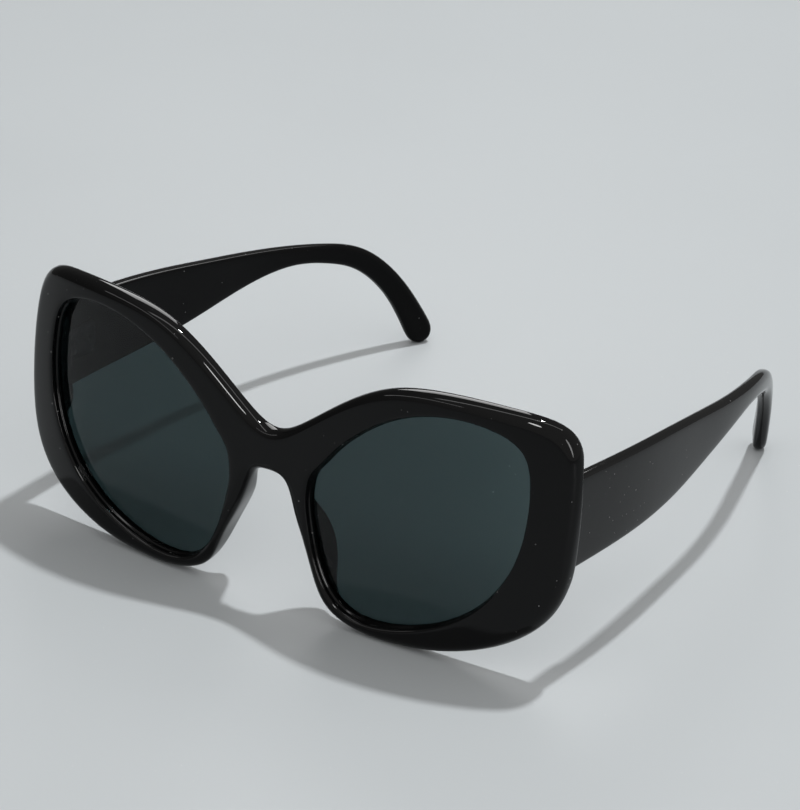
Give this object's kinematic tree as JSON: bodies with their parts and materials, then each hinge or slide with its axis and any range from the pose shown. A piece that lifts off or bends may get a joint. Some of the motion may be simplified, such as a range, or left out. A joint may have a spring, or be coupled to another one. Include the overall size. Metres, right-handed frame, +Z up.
{
  "type": "oversized sunglasses",
  "caption": "Oversized butterfly sunglasses: a one-piece glossy front with moulded nose pads, large curved tinted lenses and wide tapering temples on dark metal hinges that fold inwards.",
  "frame": {"origin": "middle of the glasses' box in plan, on the ground that the rims and the tips of the temples stand on", "axes": "+Z up, -Y out of the front of the lenses, +Y back along the temples, +X towards the wearer's left"},
  "size_m": [0.1492, 0.1374, 0.0621],
  "materials": {
    "frame_plastic": "glossy black injection-moulded plastic",
    "lens": "polished, dark grey-green tint",
    "leaf_metal": "nickel silver, stamped and plated black",
    "screw_metal": "stainless steel, turned and plated black"
  },
  "bodies": {
    "front": {"front_frame": "frame_plastic", "lens_left": "lens", "front_leaf_left": "leaf_metal", "hinge_screw_left": "screw_metal", "front_leaf_screws_left": "screw_metal", "lens_right": "lens", "front_leaf_right": "leaf_metal", "hinge_screw_right": "screw_metal", "front_leaf_screws_right": "screw_metal"},
    "left_temple": {"temple_left": "frame_plastic", "temple_leaf_left": "leaf_metal", "temple_leaf_screws_left": "screw_metal"},
    "right_temple": {"temple_right": "frame_plastic", "temple_leaf_right": "leaf_metal", "temple_leaf_screws_right": "screw_metal"}
  },
  "joints": [
    {"name": "left_hinge", "type": "hinge", "parent": "front", "child": "left_temple", "pos_m": [0.0681, -0.05273, 0.03656], "axis": [0, 0.0512, 0.9987], "range_deg": [0, 82]},
    {"name": "right_hinge", "type": "hinge", "parent": "front", "child": "right_temple", "pos_m": [-0.0681, -0.05273, 0.03656], "axis": [0, -0.0512, -0.9987], "range_deg": [0, 74]}
  ]
}
